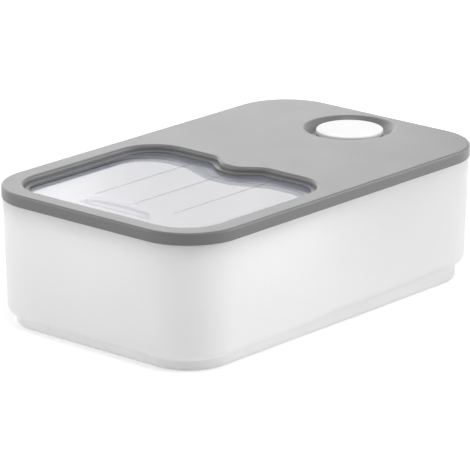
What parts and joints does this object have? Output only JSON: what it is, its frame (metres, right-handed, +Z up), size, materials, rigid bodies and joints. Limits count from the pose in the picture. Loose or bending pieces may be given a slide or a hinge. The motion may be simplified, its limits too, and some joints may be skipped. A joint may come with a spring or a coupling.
{
  "type": "rice bin",
  "caption": "Low rounded rice bin on an inset foot, with a lift-off lid, a clear sliding hatch with a finger grip and a round knob over an absorber canister.",
  "frame": {"origin": "middle of the foot's underside, on the surface that the bin stands on", "axes": "+Z up, +Y along the length from the hatch end to the knob end, +X across the width"},
  "size_m": [0.224, 0.36, 0.111],
  "materials": {
    "bin_white": "satin moulded",
    "lid_grey": "satin moulded",
    "frame_grey": "satin moulded",
    "seal_soft": "soft silicone",
    "hatch_clear": "clear polished",
    "knob_white": "glossy",
    "cup_white": "satin moulded",
    "absorber_grey": "pressed granules"
  },
  "bodies": {
    "bin": {"bin_body": "bin_white"},
    "lid": {"lid_cover": "lid_grey", "lid_inner_frame": "frame_grey", "canister_socket": "lid_grey", "lid_seal": "seal_soft", "hatch_seal": "seal_soft"},
    "hatch": {"hatch_panel": "hatch_clear"},
    "canister": {"canister_cup": "cup_white", "canister_seal": "seal_soft", "absorber_puck": "absorber_grey"},
    "knob": {"canister_cap": "knob_white"}
  },
  "joints": [
    {"name": "lid_lift", "type": "slide", "parent": "bin", "child": "lid", "axis": [0, 0, 1], "range_m": [0, 0.06]},
    {"name": "hatch_slide", "type": "slide", "parent": "lid", "child": "hatch", "axis": [0, 1, 0], "range_m": [0, 0.09]},
    {"name": "canister_lift", "type": "slide", "parent": "lid", "child": "canister", "axis": [0, 0, 1], "range_m": [0, 0.06]},
    {"name": "knob_twist", "type": "hinge", "parent": "canister", "child": "knob", "pos_m": [0, 0.135, 0.107], "axis": [0, 0, 1], "range_deg": [0, 35]}
  ]
}
